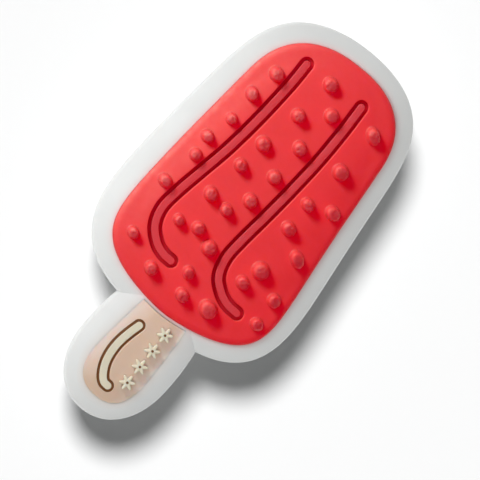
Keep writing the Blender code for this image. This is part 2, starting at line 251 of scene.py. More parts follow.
# The skin tree lays a grid round an outline: each row of the grid has an inset from the
# outline, a share of the way to a middle point, and a height, read from the rows object.
skin_tree, start = new_tree("moulded_skin", (
    ("Rows Object", "NodeSocketObject"), ("Rows", "NodeSocketInt"), ("Points Round", "NodeSocketInt"),
    ("Middle", "NodeSocketVector"), ("Material", "NodeSocketMaterial")))
rows_info = add_node(skin_tree, "GeometryNodeObjectInfo", {"Object": start.outputs["Rows Object"]})
round_count = maths(skin_tree, "ADD", start.outputs["Points Round"], 1.0)
grid = add_node(skin_tree, "GeometryNodeMeshGrid", {"Vertices X": round_count,
                                                    "Vertices Y": start.outputs["Rows"]})
place = add_node(skin_tree, "ShaderNodeSeparateXYZ", {0: grid.outputs["UV Map"]})
here = add_node(skin_tree, "GeometryNodeSampleCurve",
                {"Curves": start.outputs["Geometry"], "Factor": place.outputs[0]},
                mode="FACTOR", use_all_curves=True)
last_row = maths(skin_tree, "SUBTRACT", start.outputs["Rows"], 1.0)
row = maths(skin_tree, "MULTIPLY", place.outputs[1], last_row)
row_place = add_node(skin_tree, "GeometryNodeInputPosition").outputs[0]
row_number = add_node(skin_tree, "FunctionNodeFloatToInt", {0: row}).outputs[0]
row_values = add_node(skin_tree, "GeometryNodeSampleIndex",
                      {"Geometry": rows_info.outputs["Geometry"], "Value": row_place, "Index": row_number},
                      data_type="FLOAT_VECTOR", domain="POINT")
step = add_node(skin_tree, "ShaderNodeSeparateXYZ", {0: row_values.outputs[0]})
inward = vector_maths(skin_tree, "CROSS_PRODUCT", (0.0, 0.0, 1.0), here.outputs["Tangent"])
moved = vector_maths(skin_tree, "SCALE", inward, scale=step.outputs[0])
edge = vector_maths(skin_tree, "ADD", here.outputs["Position"], moved)
drawn = add_node(skin_tree, "ShaderNodeMix", {"Factor": step.outputs[1], 4: edge,
                                              5: start.outputs["Middle"]}, data_type="VECTOR")
flat = add_node(skin_tree, "ShaderNodeSeparateXYZ", {0: drawn.outputs[1]})
lifted = add_node(skin_tree, "ShaderNodeCombineXYZ", {0: flat.outputs[0], 1: flat.outputs[1],
                                                      2: step.outputs[2]})
shaped = add_node(skin_tree, "GeometryNodeSetPosition", {"Geometry": grid.outputs["Mesh"],
                                                         "Position": lifted.outputs[0]})
closed = add_node(skin_tree, "GeometryNodeMergeByDistance", {"Geometry": shaped.outputs[0],
                                                             "Distance": 1e-6})
end_tree(skin_tree, closed.outputs[0], start)


def moulded(name, outline, rows, middle, material):
    """Closed piece from an outline and its rows of (inset, share of the way in, height)"""
    rows_mesh = bpy.data.meshes.new(name + "_rows")
    rows_mesh.from_pydata([(away * MM, share, height * MM) for away, share, height in rows], [], [])
    rows_object = put_in_scene(name + "_rows", rows_mesh)
    curve = poly_curve(name, outline, [0.0] * len(outline), True)
    piece = run_tree(name, curve, skin_tree,
                     {"Rows Object": rows_object, "Rows": len(rows), "Points Round": len(outline),
                      "Middle": (middle[0] * MM, middle[1] * MM, 0.0), "Material": material})
    bpy.data.objects.remove(rows_object)
    face_out(piece)
    return piece


def face_out(piece):
    """Turn all faces of a closed piece outwards"""
    skin = bmesh.new()
    skin.from_mesh(piece.data)
    bmesh.ops.recalc_face_normals(skin, faces=skin.faces)
    skin.to_mesh(piece.data)
    skin.free()


def backing_rows(high):
    """Underside, drafted wall, tight outer corner, and a front that slopes up to the pockets"""
    rows = [(FOOT_ROUND, share, BACK_LOW) for share in (1.0, 0.7, 0.4, 0.15, 0.04, 0.0)]
    for turn in np.linspace(0, 90, 6)[1:]:
        lean = math.radians(turn)
        rows.append((FOOT_ROUND * (1 - math.sin(lean)), 0.0, BACK_LOW + FOOT_RISE * (1 - math.cos(lean))))
    away = WALL_DRAFT + CORNER_ROUND * (1 - math.cos(CORNER_TURN))
    drop = math.tan(math.pi / 2 - CORNER_TURN) * (FRONT_REACH - away) / FRONT_BULGE
    wall_top = high - drop - CORNER_ROUND * math.sin(CORNER_TURN)
    rows.append((0.01, 0.0, BACK_LOW + 0.6 * (wall_top - BACK_LOW)))
    for lean in np.linspace(0, CORNER_TURN, 8):
        rows.append((WALL_DRAFT + CORNER_ROUND * (1 - math.cos(lean)), 0.0,
                     wall_top + CORNER_ROUND * math.sin(lean)))
    for here in np.append(np.arange(away + 0.1, FRONT_REACH, 0.1), FRONT_REACH):
        rows.append((here, 0.0, high - drop * ((FRONT_REACH - here) / (FRONT_REACH - away)) ** FRONT_BULGE))
    rows += [(FRONT_REACH + further, 0.0, high) for further in (0.1, 0.2, 0.3)]
    rows += [(FRONT_REACH + 0.3, share, high) for share in (0.05, 0.12, 0.25, 0.45, 0.7, 1.0)]
    return rows


def shader_of(material):
    """The shader that holds a material's finish"""
    return material.node_tree.nodes["Principled BSDF"]


def pvc(name, colour, roughness, skin_depth, skin_reach, relief, haze=0.5, grain=1500.0):
    """Soft moulded PVC: slightly uneven colour and gloss, fine mould grain, light let in a little"""
    material = bpy.data.materials.new(name)
    material.use_nodes = True
    tree = material.node_tree
    shader = shader_of(material)
    shader.inputs["Subsurface Weight"].default_value = 1.0
    shader.inputs["Subsurface Radius"].default_value = skin_reach
    shader.inputs["Subsurface Scale"].default_value = skin_depth * MM
    shader.inputs["IOR"].default_value = 1.5
    shader.inputs["Specular IOR Level"].default_value = haze
    place = add_node(tree, "ShaderNodeTexCoord").outputs["Object"]
    cloud = add_node(tree, "ShaderNodeTexNoise", {"Vector": place, "Scale": 160.0, "Detail": 3.0})
    tone = add_node(tree, "ShaderNodeMapRange", {0: cloud.outputs[0], 1: 0.3, 2: 0.7, 3: 0.965, 4: 1.02})
    base = add_node(tree, "ShaderNodeMix", {"Factor": 1.0, 6: (*colour, 1.0), 7: tone.outputs[0]},
                    data_type="RGBA", blend_type="MULTIPLY")
    tree.links.new(base.outputs[2], shader.inputs["Base Color"])
    grit = add_node(tree, "ShaderNodeTexNoise", {"Vector": place, "Scale": grain, "Detail": 2.0})
    gloss = add_node(tree, "ShaderNodeMapRange", {0: grit.outputs[0], 1: 0.3, 2: 0.7,
                                                  3: roughness - 0.04, 4: roughness + 0.06})
    tree.links.new(gloss.outputs[0], shader.inputs["Roughness"])
    swell = add_node(tree, "ShaderNodeTexNoise", {"Vector": place, "Scale": 420.0, "Detail": 1.0})
    mixed = add_node(tree, "ShaderNodeMath", {0: swell.outputs[0], 1: 4.0, 2: grit.outputs[0]},
                     operation="MULTIPLY_ADD")
    bump = add_node(tree, "ShaderNodeBump", {"Height": mixed.outputs[0], "Strength": 0.5,
                                             "Distance": relief * MM})
    tree.links.new(bump.outputs[0], shader.inputs["Normal"])
    return material


def cut(piece, operation, other):
    """Apply one Boolean with another piece, and drop that piece"""
    step = piece.modifiers.new(operation, "BOOLEAN")
    step.operation = operation
    step.solver = "MANIFOLD"
    step.object = other
    done = settle(piece)
    bpy.data.objects.remove(other)
    return done


def soften(piece, degrees):
    """Smooth shading that breaks only at edges sharper than an angle"""
    piece.data.shade_smooth()
    piece.data.set_sharp_from_angle(angle=math.radians(degrees))


def distance_to(points, line):
    """Distance from each point to a line of straight segments"""
    nearest = np.full(len(points), np.inf)
    for begin, end in zip(line, line[1:]):
        span = end - begin
        share = np.clip((points - begin) @ span / (span @ span), 0, 1)
        nearest = np.minimum(nearest, np.linalg.norm(points - begin - share[:, None] * span, axis=1))
    return nearest


def places_of(mesh):
    """Places of a mesh's vertices, in millimetres"""
    places = np.empty(len(mesh.vertices) * 3)
    mesh.vertices.foreach_get("co", places)
    return places.reshape(-1, 3) / MM


def mark(mesh, label, values, kind="FLOAT"):
    """Store a value under a name on each vertex of a mesh"""
    named = mesh.attributes.new(label, kind, "POINT")
    named.data.foreach_set("vector" if kind == "FLOAT_VECTOR" else "value", np.ravel(values))


def from_edge(points, outline):
    """Distance from each point to a closed outline"""
    return distance_to(points, np.vstack((outline, outline[:1])))


def blend_by(material, attribute, span, most, colour):
    """Mix another tone into a material where a stored attribute of the mesh is high"""
    tree = material.node_tree
    shader = shader_of(material)
    plain = shader.inputs["Base Color"].links[0].from_socket
    share = add_node(tree, "ShaderNodeAttribute", attribute_name=attribute).outputs["Fac"]
    amount = add_node(tree, "ShaderNodeMapRange", {0: share, 1: span[0], 2: span[1], 3: 0.0, 4: most},
                      clamp=True)
    mixed = add_node(tree, "ShaderNodeMix", {"Factor": amount.outputs[0], 6: plain, 7: (*colour, 1.0)},
                     data_type="RGBA")
    tree.links.new(mixed.outputs[2], shader.inputs["Base Color"])


white_pvc = pvc("white_pvc", WHITE, 0.55, 0.2, (1.0, 0.95, 0.9), 0.006)
face_outline = soft_outline(FACE_SHAPE, 300)
wood_outline = on_stick(soft_outline(WOOD_SHAPE, 190))
backing = moulded("backing_shell", soft_outline(POP_SHAPE, 280), backing_rows(BACK_HIGH), (0.0, 5.0),
                  white_pvc)
stick_slab = moulded("stick_slab", on_stick(soft_outline(STICK_SHAPE, 220)),
                     backing_rows(BACK_HIGH - STICK_DROP), (0.3, -14.0), white_pvc)
backing = cut(backing, "UNION", stick_slab)
face_pocket = put_in_scene("face_pocket", plate("face_pocket", soft_outline(FACE_SHAPE, 300, -LAP),
                                                POCKET_FLOOR, CUT_TOP))
backing = cut(backing, "DIFFERENCE", face_pocket)
wood_pocket = put_in_scene("wood_pocket", plate("wood_pocket", on_stick(soft_outline(WOOD_SHAPE, 190, -LAP)),
                                                POCKET_FLOOR, CUT_TOP))
lip_guard = put_in_scene("lip_guard", plate("lip_guard", soft_outline(FACE_SHAPE, 300, LIP + LAP),
                                            BACK_LOW, CUT_TOP + 1.0))
wood_pocket = cut(wood_pocket, "DIFFERENCE", lip_guard)
backing = cut(backing, "DIFFERENCE", wood_pocket)
backing.name = "backing_shell"
soften(backing, 38)
spots = places_of(backing.data)
above_floor = spots[:, 2] > POCKET_FLOOR + 0.1
below_pop = np.clip(1 - (spots[:, 1] + 11.5) / 1.5, 0, 1)
# Painted red glow on the white close round the red face, standing in for bounced red light and lifting the
# shade beside the rim.
red_bounce_near = np.exp(-from_edge(spots[:, :2], face_outline) / 0.2)
# Painted brownish shade on the white along the stick below the pop, darkest at the stick's edge.
tan_shade_near = np.exp(-from_edge(spots[:, :2], wood_outline) / 0.35)
mark(backing.data, "red_blush", red_bounce_near * above_floor)
mark(backing.data, "tan_blush", tan_shade_near * above_floor * below_pop)
blend_by(white_pvc, "red_blush", (0.0, 1.0), 0.6, RED_BOUNCE_PAINT)
blend_by(white_pvc, "tan_blush", (0.0, 1.0), 0.6, TAN_SHADE_PAINT)
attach(backing, "root")
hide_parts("backing")

# Rear plug
# A mushroom of the same white PVC, moulded on behind: a flat head with a soft rim that squeezes
# through the hole in the shoe, a neck as long as the shoe's wall is thick, and a flare.
PLUG_PLACE = (0.0, 2.5)
PLUG_HEAD = 1.9
PLUG_RADIUS = 5.75
PLUG_RIM = 0.9
NECK_RADIUS = 3.6
NECK_ROUND = 0.4
NECK_FLARE = 0.6


def plug_rows():
    """Rows from the middle of the flat head, round its rim, up the neck to the flare"""
    flat, half = PLUG_RADIUS - PLUG_RIM, PLUG_HEAD / 2
    turned = [(0.0, 0.0), (2.5, 0.0), (flat - 0.1, 0.0)]
    for turn in np.linspace(-90, 90, 17):
        lean = math.radians(turn)
        turned.append((flat + PLUG_RIM * math.cos(lean), half * (1 + math.sin(lean))))
    turned.append((NECK_RADIUS + 0.9, PLUG_HEAD))
    for turn in np.linspace(0, 90, 7):
        lean = math.radians(turn)
        turned.append((NECK_RADIUS + NECK_ROUND * (1 - math.sin(lean)),
                       PLUG_HEAD + NECK_ROUND * (1 - math.cos(lean))))
    top = BACK_LOW - GAP
    for turn in np.linspace(0, 90, 7):
        lean = math.radians(turn)
        turned.append((NECK_RADIUS + NECK_FLARE * (1 - math.cos(lean)),
                       top - NECK_FLARE * (1 - math.sin(lean))))
    turned.append((0.0, top))
    return [(0.0, 1 - radius / PLUG_RADIUS, height) for radius, height in turned]


circle = np.stack([fn(np.arange(128) * math.tau / 128) * PLUG_RADIUS for fn in (np.cos, np.sin)], axis=1)
plug = moulded("plug_mushroom", circle + np.array(PLUG_PLACE), plug_rows(), PLUG_PLACE, white_pvc)
soften(plug, 50)
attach(plug, "root")
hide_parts("rear_plug")

# Red face
# The ice of the pop: a low dome of red PVC with a round rim and two curved grooves.  Blunt pegs,
# no two alike, are moulded on all over it, and their tops are painted darker: part dust, part painted shade.
SHOULDER = 10.24
CROWN = 0.32
SIDE_DROP = (0.3, -0.1)
SIDE_REACH = 1.9
RIM_ROUND = 0.75
RIM_DROP = 0.4
GROOVE_HALF = 0.76
GROOVE_FLOOR = 9.3
LIP_ROUND = 0.05
FACE_GRID = 0.28
LEFT_PATH = ((-4.05, 17.9), (-4.1, 15.2), (-4.4, 11.0), (-4.95, 6.6), (-5.65, 3.0), (-6.2, 0.1),
             (-6.42, -2.2), (-5.85, -4.0), (-4.6, -5.2), (-3.4, -5.7), (-2.4, -5.78))
RIGHT_PATH = ((2.9, 17.95), (2.97, 14.5), (2.88, 10.8), (2.55, 6.6), (2.2, 3.2), (1.84, 0.2),
              (1.74, -2.2), (2.3, -4.0), (3.5, -5.1), (4.8, -5.68), (6.05, -5.78))
PEG_HEIGHT = 0.92
PEG_SWELL = 1.02
ROUND_STRETCH = 1.08
LONG_STRETCH = 1.18
PEG_TURN = -27.0
PEG_LEAN = 0.4
PEG_SLANT = -0.13
PEG_REACH = 1.3
PEG_RINGS = (0.0, 0.18, 0.34, 0.48, 0.6, 0.69, 0.76, 0.82, 0.87, 0.91, 0.94, 0.97, 1.0, 1.04, 1.12, 1.3)
PEG_FORM = ((0.0, 1.0), (0.36, 0.995), (0.53, 0.97), (0.67, 0.915), (0.78, 0.82), (0.86, 0.65),
            (0.92, 0.41), (0.97, 0.15), (1.01, 0.03), (1.05, 0.005), (1.3, 0.0))
ROUND_PEGS = ((-5.8, 15.25, 1.5), (-6.5, 12.2, 1.4), (-6.55, 9.0, 1.2), (-7.35, 6.15, 1.3),
              (-7.1, 4.0, 1.3), (-3.5, -7.55, 1.4),
              (-0.95, 17.75, 1.55), (1.05, 15.4, 1.5), (-1.55, 13.35, 1.45), (0.6, 10.9, 1.5),
              (-2.5, 9.0, 1.6), (0.4, 7.1, 1.45), (-2.95, 5.95, 1.4), (0.0, 3.8, 1.5),
              (-3.5, 1.9, 1.5), (-1.3, 1.6, 1.35), (-2.3, -1.55, 1.4), (-4.35, -2.1, 1.2),
              (-0.25, -2.4, 1.6), (-0.3, -5.6, 1.3), (0.6, -7.75, 1.4),
              (5.3, 11.6, 1.65), (7.25, 7.95, 1.5), (4.75, 4.0, 1.5), (5.2, -1.0, 1.8),
              (8.15, -2.5, 1.4), (4.55, -3.05, 1.4), (8.25, -5.4, 1.3), (3.5, -7.25, 1.85))
LONG_PEGS = ((5.6, 16.45, 1.55), (4.75, 7.05, 1.35), (7.35, 2.15, 1.55), (-7.85, 0.1, 1.35),
             (-7.1, -5.9, 1.2))
RED = (0.80, 0.002, 0.02)
WARM_GLOSS = (1.0, 0.99, 0.8, 1.0)
# Darker, duller red for the peg tops: partly dust, partly painted shade for tops that face away from the
# lamp.
PEG_DUST_AND_SHADE = (0.54, 0.006, 0.026)


def smooth_path(places, spacing):
    """Evenly spaced points on the Catmull-Rom curve through the given places"""
    knots = np.array(places)
    knots = np.vstack((2 * knots[0] - knots[1], knots, 2 * knots[-1] - knots[-2]))
    t = np.arange(24)[:, None] / 24
    line = []
    for before, begin, end, after in zip(knots, knots[1:], knots[2:], knots[3:]):
        line.append(0.5 * (2 * begin + (end - before) * t
                           + (2 * before - 5 * begin + 4 * end - after) * t ** 2
                           + (3 * begin - before - 3 * end + after) * t ** 3))
    line = np.vstack(line + [knots[-2:-1]])
    reached = np.concatenate(([0.0], np.cumsum(np.linalg.norm(np.diff(line, axis=0), axis=1))))
    targets = np.linspace(0, reached[-1], max(2, round(reached[-1] / spacing)))
    return np.stack([np.interp(targets, reached, line[:, axis]) for axis in (0, 1)], axis=1)


def band_outline(line, radius, ends=12):
    """Closed outline at one distance all round a line"""
    run = np.gradient(line, axis=0)
    run /= np.linalg.norm(run, axis=1)[:, None]
    side = np.stack((-run[:, 1], run[:, 0]), axis=1) * radius
    turns = np.pi * np.arange(1, ends) / ends
    caps = []
    for point, edge in ((line[-1], -side[-1]), (line[0], side[0])):
        across = np.array((-edge[1], edge[0]))
        caps.append(point + np.cos(turns)[:, None] * edge + np.sin(turns)[:, None] * across)
    return np.vstack((line - side, caps[0], (line + side)[::-1], caps[1]))


def hex_points(outline, spacing):
    """Even filling of an outline's box with points in a triangular pattern"""
    low, high = outline.min(axis=0), outline.max(axis=0)
    rows = []
    for number, y in enumerate(np.arange(low[1], high[1], spacing * 0.866)):
        xs = np.arange(low[0] + (number % 2) * spacing / 2, high[0], spacing)
        rows.append(np.stack((xs, np.full(len(xs), y)), axis=1))
    return np.vstack(rows)


def inside(points, outline):
    """Which points lie inside a closed outline"""
    hits = np.zeros(len(points), dtype=bool)
    for begin, end in zip(outline, np.roll(outline, -1, axis=0)):
        spans = (begin[1] > points[:, 1]) != (end[1] > points[:, 1])
        rise = end[1] - begin[1]
        cross = begin[0] + (points[:, 1] - begin[1]) * (end[0] - begin[0]) / (rise if rise else 1.0)
        hits ^= spans & (points[:, 0] < cross)
    return hits


def layer_mesh(name, outline, paths, half, floor, lip, dome, rim_fall, spacing, clusters, low):
    """Closed mesh of a moulded layer: a dome with a round rim and grooves along paths.

    The surface is one flat triangulation through rings along the rim, rings along each groove,
    and filling points, lifted by how far each point lies from the rim and from the grooves.
    """
    points, rims, lips, edges = [], [], [], []

    def lip_fall(away):
        return lip - np.sqrt(np.clip(lip ** 2 - (lip - np.clip(away, 0, lip)) ** 2, 0, None))

    def add_points(places, rim_value=np.nan, lip_value=np.nan, ring=True):
        first = sum(len(block) for block in points)
        count = len(places)
        points.append(places)
        rims.append(np.full(count, rim_value))
        lips.append(np.full(count, lip_value))
        if ring:
            edges.extend((first + k, first + (k + 1) % count) for k in range(count))

    for away in (0.0, 0.02, 0.06, 0.12, 0.2, 0.3, 0.42, 0.56, 0.75):
        add_points(inset(outline, away), rim_value=rim_fall(away))
    for path in paths:
        for away in (-0.08, -0.04):
            add_points(band_outline(path, half + away), lip_value=np.inf)
        add_points(band_outline(path, half - 0.012), lip_value=lip)
        for turn in (15, 30, 45, 60, 75, 90):
            away = lip * (1 - math.cos(math.radians(turn)))
            add_points(band_outline(path, half + away), lip_value=lip_fall(away))
        add_points(band_outline(path, half + lip + 0.15), lip_value=0.0)
    fill = hex_points(outline, spacing)
    if clusters:
        gaps = np.min([np.hypot(*(fill - centre).T) / reach for centre, reach, _ in clusters], axis=0)
        fill = np.vstack([fill[gaps > 1.08]] + [cluster for _, _, cluster in clusters])
    fill = fill[inside(fill, inset(outline, 0.75 + 0.4 * spacing))]
    for path in paths:
        fill = fill[distance_to(fill, path) > half + lip + 0.15 + 0.3 * spacing]
    add_points(fill, ring=False)

    given = [Vector(point) for point in np.vstack(points)]
    places, _, faces, origins, _, _ = delaunay_2d_cdt(given, edges, [], 1, 1e-6)
    flat = np.array(places)
    known = np.array([origin[0] if origin else -1 for origin in origins])
    rim_given = np.append(np.concatenate(rims), np.nan)[known]
    lip_given = np.append(np.concatenate(lips), np.nan)[known]
    rim_found = rim_fall(from_edge(flat, outline))
    path_gap = np.min([distance_to(flat, path) for path in paths], axis=0) - half
    lip_found = np.where(path_gap < -0.026, np.inf, lip_fall(path_gap))
    falls = np.maximum(np.where(np.isnan(rim_given), rim_found, rim_given),
                       np.where(np.isnan(lip_given), lip_found, lip_given))
    heights = np.where(np.isinf(falls), floor, dome(flat) - np.where(np.isinf(falls), 0.0, falls))
    skin = bmesh.new()
    verts = [skin.verts.new((x * MM, y * MM, z * MM)) for (x, y), z in zip(flat, heights)]
    for face in faces:
        skin.faces.new([verts[number] for number in face])
    open_edges = [edge for edge in skin.edges if edge.is_boundary]
    skirt = bmesh.ops.extrude_edge_only(skin, edges=open_edges)["geom"]
    for item in skirt:
        if isinstance(item, bmesh.types.BMVert):
            item.co.z = low * MM
    bottom = [item for item in skirt if isinstance(item, bmesh.types.BMEdge)]
    bmesh.ops.edgeloop_fill(skin, edges=[edge for edge in bottom if edge.is_boundary])
    bmesh.ops.recalc_face_normals(skin, faces=skin.faces)
    mesh = bpy.data.meshes.new(name)
    skin.to_mesh(mesh)
    skin.free()
    return mesh


def face_rim(away):
    """How far the red rim falls below the dome, by the distance from its edge"""
    return RIM_DROP * (1 - np.sqrt(1 - (1 - np.clip(away / RIM_ROUND, 0, 1)) ** 2))


def face_dome(points):
    """Height of the red dome above places on the face"""
    middle = 0.5 * (FACE_SHAPE["top"] + FACE_SHAPE["bottom"])
    half = FACE_SHAPE["side"] - FACE_SHAPE["taper"] * points[:, 1]
    reach = (points[:, 0] / half) ** 2 + ((points[:, 1] - middle) / (FACE_SHAPE["top"] - middle)) ** 2
    rounding = np.exp(-(from_edge(points, face_outline) / SIDE_REACH) ** 2)
    side_drop = SIDE_DROP[0] + SIDE_DROP[1] * points[:, 0] / half
    return SHOULDER + CROWN * np.clip(1 - reach, 0, None) - side_drop * rounding


draw = np.random.default_rng(7)
peg_rows = [(x, y, width, ROUND_STRETCH) for x, y, width in ROUND_PEGS]
peg_rows += [(x, y, width, LONG_STRETCH) for x, y, width in LONG_PEGS]
peg_places, peg_halves, peg_heights, peg_turns, peg_slants, peg_clusters = [], [], [], [], [], []
around = np.arange(30) * math.tau / 30
for x, y, width, stretch in peg_rows:
    round_off = draw.uniform(0.96, 1.05)
    half = np.array((width / 2 * stretch * round_off, width / 2 / stretch ** 0.5 / round_off)) * PEG_SWELL
    turn = math.radians(PEG_TURN + draw.uniform(-14, 14))
    spin = np.array(Matrix.Rotation(turn, 2))
    rings = [np.array([(x, y)])]
    for share in PEG_RINGS[1:]:
        ring = np.stack((np.cos(around), np.sin(around)), axis=1) * half * share
        rings.append(ring @ spin.T + np.array((x, y)))
    peg_places.append((x, y))
    peg_halves.append(half)
    peg_heights.append(PEG_HEIGHT * draw.uniform(0.94, 1.05))
    peg_turns.append(turn)
    peg_slants.append((PEG_SLANT + draw.uniform(-0.1, 0.1), draw.uniform(-0.12, 0.12), 0.0))
    peg_clusters.append((np.array((x, y)), half.max() * PEG_REACH, np.vstack(rings)))

groove_lines = [smooth_path(path, 0.16) for path in (LEFT_PATH, RIGHT_PATH)]
face_skin = layer_mesh("pop_red_face", face_outline, groove_lines, GROOVE_HALF, GROOVE_FLOOR, LIP_ROUND,
                       face_dome, face_rim, FACE_GRID, peg_clusters, POCKET_FLOOR + GAP)

# The peg tree lifts the skin round each point of the peg object.  It measures how far out a place
# lies on the nearest peg, leans that towards the peg's far side, and reads the height from a curve.
peg_tree, start = new_tree("moulded_pegs", (("Peg Object", "NodeSocketObject"), ("Reach", "NodeSocketFloat"),
                                            ("Material", "NodeSocketMaterial")))
pegs_info = add_node(peg_tree, "GeometryNodeObjectInfo", {"Object": start.outputs["Peg Object"]})
pegs = pegs_info.outputs["Geometry"]
peg_tree_place = add_node(peg_tree, "GeometryNodeInputPosition").outputs[0]
level = vector_maths(peg_tree, "MULTIPLY", peg_tree_place, (1.0, 1.0, 0.0))
nearest = add_node(peg_tree, "GeometryNodeSampleNearest", {"Geometry": pegs, "Sample Position": level},
                   domain="POINT").outputs[0]


def nearest_peg(value, kind):
    """What the nearest peg holds"""
    return add_node(peg_tree, "GeometryNodeSampleIndex", {"Geometry": pegs, "Value": value, "Index": nearest},
                    data_type=kind).outputs[0]


away = vector_maths(peg_tree, "SUBTRACT", level, nearest_peg(peg_tree_place, "FLOAT_VECTOR"))
back_turn = nearest_peg(held(peg_tree, "back_turn"), "FLOAT")
straight = add_node(peg_tree, "ShaderNodeVectorRotate", {"Vector": away, "Angle": back_turn},
                    rotation_type="Z_AXIS").outputs[0]
halves = nearest_peg(held(peg_tree, "halves", "FLOAT_VECTOR"), "FLOAT_VECTOR")
share = vector_maths(peg_tree, "DIVIDE", straight, halves)
to_rim = maths(peg_tree, "SUBTRACT", 1.0, vector_maths(peg_tree, "LENGTH", share), clamp=True)
pull = vector_maths(peg_tree, "SCALE", (PEG_LEAN, 0.0, 0.0), scale=to_rim)
out = vector_maths(peg_tree, "LENGTH", vector_maths(peg_tree, "SUBTRACT", share, pull))
out_share = maths(peg_tree, "DIVIDE", out, start.outputs["Reach"], clamp=True)
form = add_node(peg_tree, "ShaderNodeFloatCurve", {"Value": out_share})
form_line = form.mapping.curves[0]
form_line.points[0].location = (0.0, PEG_FORM[0][1])
form_line.points[1].location = (1.0, PEG_FORM[-1][1])
for along, height in PEG_FORM[1:-1]:
    form_line.points.new(along / PEG_REACH, height)
form.mapping.update()
formed = maths(peg_tree, "MULTIPLY", form.outputs[0], held(peg_tree, "free"))
peg_slant = nearest_peg(held(peg_tree, "slant", "FLOAT_VECTOR"), "FLOAT_VECTOR")
slant = vector_maths(peg_tree, "DOT_PRODUCT", share, peg_slant)
dents = add_node(peg_tree, "ShaderNodeTexNoise", {"Vector": level, "Scale": 3200.0, "Detail": 1.0}).outputs[0]
dented = add_node(peg_tree, "ShaderNodeMapRange", {0: dents, 1: 0.3, 2: 0.7, 3: 0.95, 4: 1.04},
                  clamp=False).outputs[0]
uneven = maths(peg_tree, "ADD", dented, slant)
full = maths(peg_tree, "MULTIPLY", nearest_peg(held(peg_tree, "height"), "FLOAT"), uneven)
lift = add_node(peg_tree, "ShaderNodeCombineXYZ", {2: maths(peg_tree, "MULTIPLY", formed, full)})
raised = add_node(peg_tree, "GeometryNodeSetPosition", {"Geometry": start.outputs["Geometry"],
                                                        "Offset": lift.outputs[0]})
end_tree(peg_tree, keep(peg_tree, raised.outputs[0], "peg_share", formed), start)

peg_mesh = bpy.data.meshes.new("peg_places")
peg_mesh.from_pydata([(x * MM, y * MM, 0.0) for x, y in peg_places], [], [])
mark(peg_mesh, "halves", [(*half * MM, 1.0) for half in peg_halves], "FLOAT_VECTOR")
mark(peg_mesh, "slant", peg_slants, "FLOAT_VECTOR")
mark(peg_mesh, "height", np.array(peg_heights) * MM)
mark(peg_mesh, "back_turn", -np.array(peg_turns))
peg_object = put_in_scene("peg_places", peg_mesh)

spots = places_of(face_skin)
free = np.ones(len(spots))
for line in groove_lines:
    free *= np.clip((distance_to(spots[:, :2], line) - GROOVE_HALF + 0.01) / 0.02, 0, 1)
free *= spots[:, 2] > POCKET_FLOOR + 0.2
mark(face_skin, "free", free)

red_pvc = pvc("red_pvc", RED, 0.7, 0.6, (1.0, 0.08, 0.06), 0.010, 1.0)
shader_of(red_pvc).inputs["IOR"].default_value = 1.75
shader_of(red_pvc).inputs["Specular Tint"].default_value = WARM_GLOSS
# Peg tops painted darker, partly as dust and partly as painted shade.
blend_by(red_pvc, "peg_share", (0.84, 0.98), 0.85, PEG_DUST_AND_SHADE)
face = run_tree("pop_red_face", face_skin, peg_tree, {"Peg Object": peg_object, "Reach": PEG_REACH,
                                                      "Material": red_pvc})
bpy.data.objects.remove(peg_object)
soften(face, 60)
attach(face, "root")
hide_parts("pop_face")

# Groove linings and strips
# The base colour shows as a dark line on both sides of each strip.  The lining is a thin dark
# layer on the floor of the groove, and the strip on it is a rounded bar that ends in a half circle.
LINING_LOW = GROOVE_FLOOR + GAP
LINING_THICKNESS = 0.3
STRIP_HALF = 0.36
STRIP_SINK = 0.1
BAR_EDGE = 0.05
DARK_RED = (0.5, 0.0015, 0.014)
DUSTY_RED = (0.66, 0.045, 0.06)

# The bar tree sweeps a square with round edges along a path, draws it in to a half circle at both
# ends, and then sets the bar's floor level and its top to the height that the path has there.
bar_tree, start = new_tree("bar_on_path", (
    ("Width", "NodeSocketFloat"), ("Low", "NodeSocketFloat"), ("Edge Round", "NodeSocketFloat"),
    ("Material", "NodeSocketMaterial")))
width = start.outputs["Width"]
bar_place = add_node(bar_tree, "GeometryNodeInputPosition").outputs[0]
place_parts = add_node(bar_tree, "ShaderNodeSeparateXYZ", {0: bar_place}).outputs
section = add_node(bar_tree, "GeometryNodeCurvePrimitiveQuadrilateral", {"Width": width, "Height": width})
rounded = add_node(bar_tree, "GeometryNodeFilletCurve", {"Curve": section.outputs[0], "Count": 4,
                                                         "Radius": start.outputs["Edge Round"]}, mode="POLY")
section_line = keep(bar_tree, rounded.outputs[0], "level", maths(bar_tree, "DIVIDE", place_parts[1], width))
topped = keep(bar_tree, start.outputs["Geometry"], "top", place_parts[2])
upright = add_node(bar_tree, "GeometryNodeSetCurveNormal", {"Curve": topped}, mode="Z_UP")
along = add_node(bar_tree, "GeometryNodeSplineParameter").outputs["Length"]
whole = add_node(bar_tree, "GeometryNodeSplineLength").outputs["Length"]
short = maths(bar_tree, "MINIMUM", along, maths(bar_tree, "SUBTRACT", whole, along))
near = maths(bar_tree, "DIVIDE", short, maths(bar_tree, "MULTIPLY", width, 0.5), clamp=True)
square = maths(bar_tree, "POWER", maths(bar_tree, "SUBTRACT", 1.0, near), 2.0)
ends = maths(bar_tree, "SQRT", maths(bar_tree, "SUBTRACT", 1.0004, square))
swept = add_node(bar_tree, "GeometryNodeCurveToMesh", {"Curve": upright.outputs[0], "Scale": ends,
                                                       "Profile Curve": section_line, "Fill Caps": True})
height = add_node(bar_tree, "ShaderNodeMapRange", {0: held(bar_tree, "level"), 1: -0.5, 2: 0.5,
                                                   3: start.outputs["Low"], 4: held(bar_tree, "top")})
settled = add_node(bar_tree, "ShaderNodeCombineXYZ", {0: place_parts[0], 1: place_parts[1],
                                                      2: height.outputs[0]})
stood = add_node(bar_tree, "GeometryNodeSetPosition", {"Geometry": swept.outputs[0],
                                                       "Position": settled.outputs[0]})
end_tree(bar_tree, stood.outputs[0], start)


